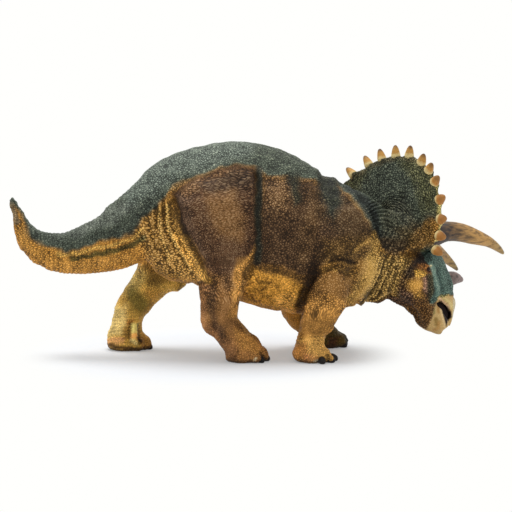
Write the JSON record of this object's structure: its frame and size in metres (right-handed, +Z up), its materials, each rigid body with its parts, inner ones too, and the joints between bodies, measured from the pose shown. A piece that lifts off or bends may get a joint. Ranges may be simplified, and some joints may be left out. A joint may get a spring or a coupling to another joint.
{
  "type": "toy dinosaur figure",
  "caption": "Solid vinyl horned dinosaur figure in a walking pose, with a lowered head, a spiked neck frill and a raised tail tip, standing on its own flat soles.",
  "frame": {"origin": "on the ground under the middle of the figure's bounding box", "axes": "+X forward from the tail to the horns, +Y to the animal's left, +Z up from the soles"},
  "size_m": [0.2058, 0.0736, 0.0862],
  "materials": {
    "body_skin": "solid soft vinyl with a pebbly scale relief, hand-painted dark grey-green and washed and dry-brushed in ochre, satin",
    "leg_skin": "solid soft vinyl with wrinkled scale relief, painted brown-orange and ochre, satin",
    "beak": "solid soft vinyl, painted cream-tan with a brown wash, satin",
    "horn": "solid soft vinyl, painted tan-ochre over grey-brown with fine lengthwise streaks, satin"
  },
  "bodies": {
    "root": {"trunk": "body_skin", "tail": "body_skin", "head": "body_skin", "lower_jaw": "beak", "brow_horn_right": "horn", "brow_horn_left": "horn", "nose_horn": "horn", "fore_leg_right": "leg_skin", "fore_leg_left": "leg_skin", "hind_leg_right": "leg_skin", "hind_leg_left": "leg_skin"}
  },
  "joints": []
}
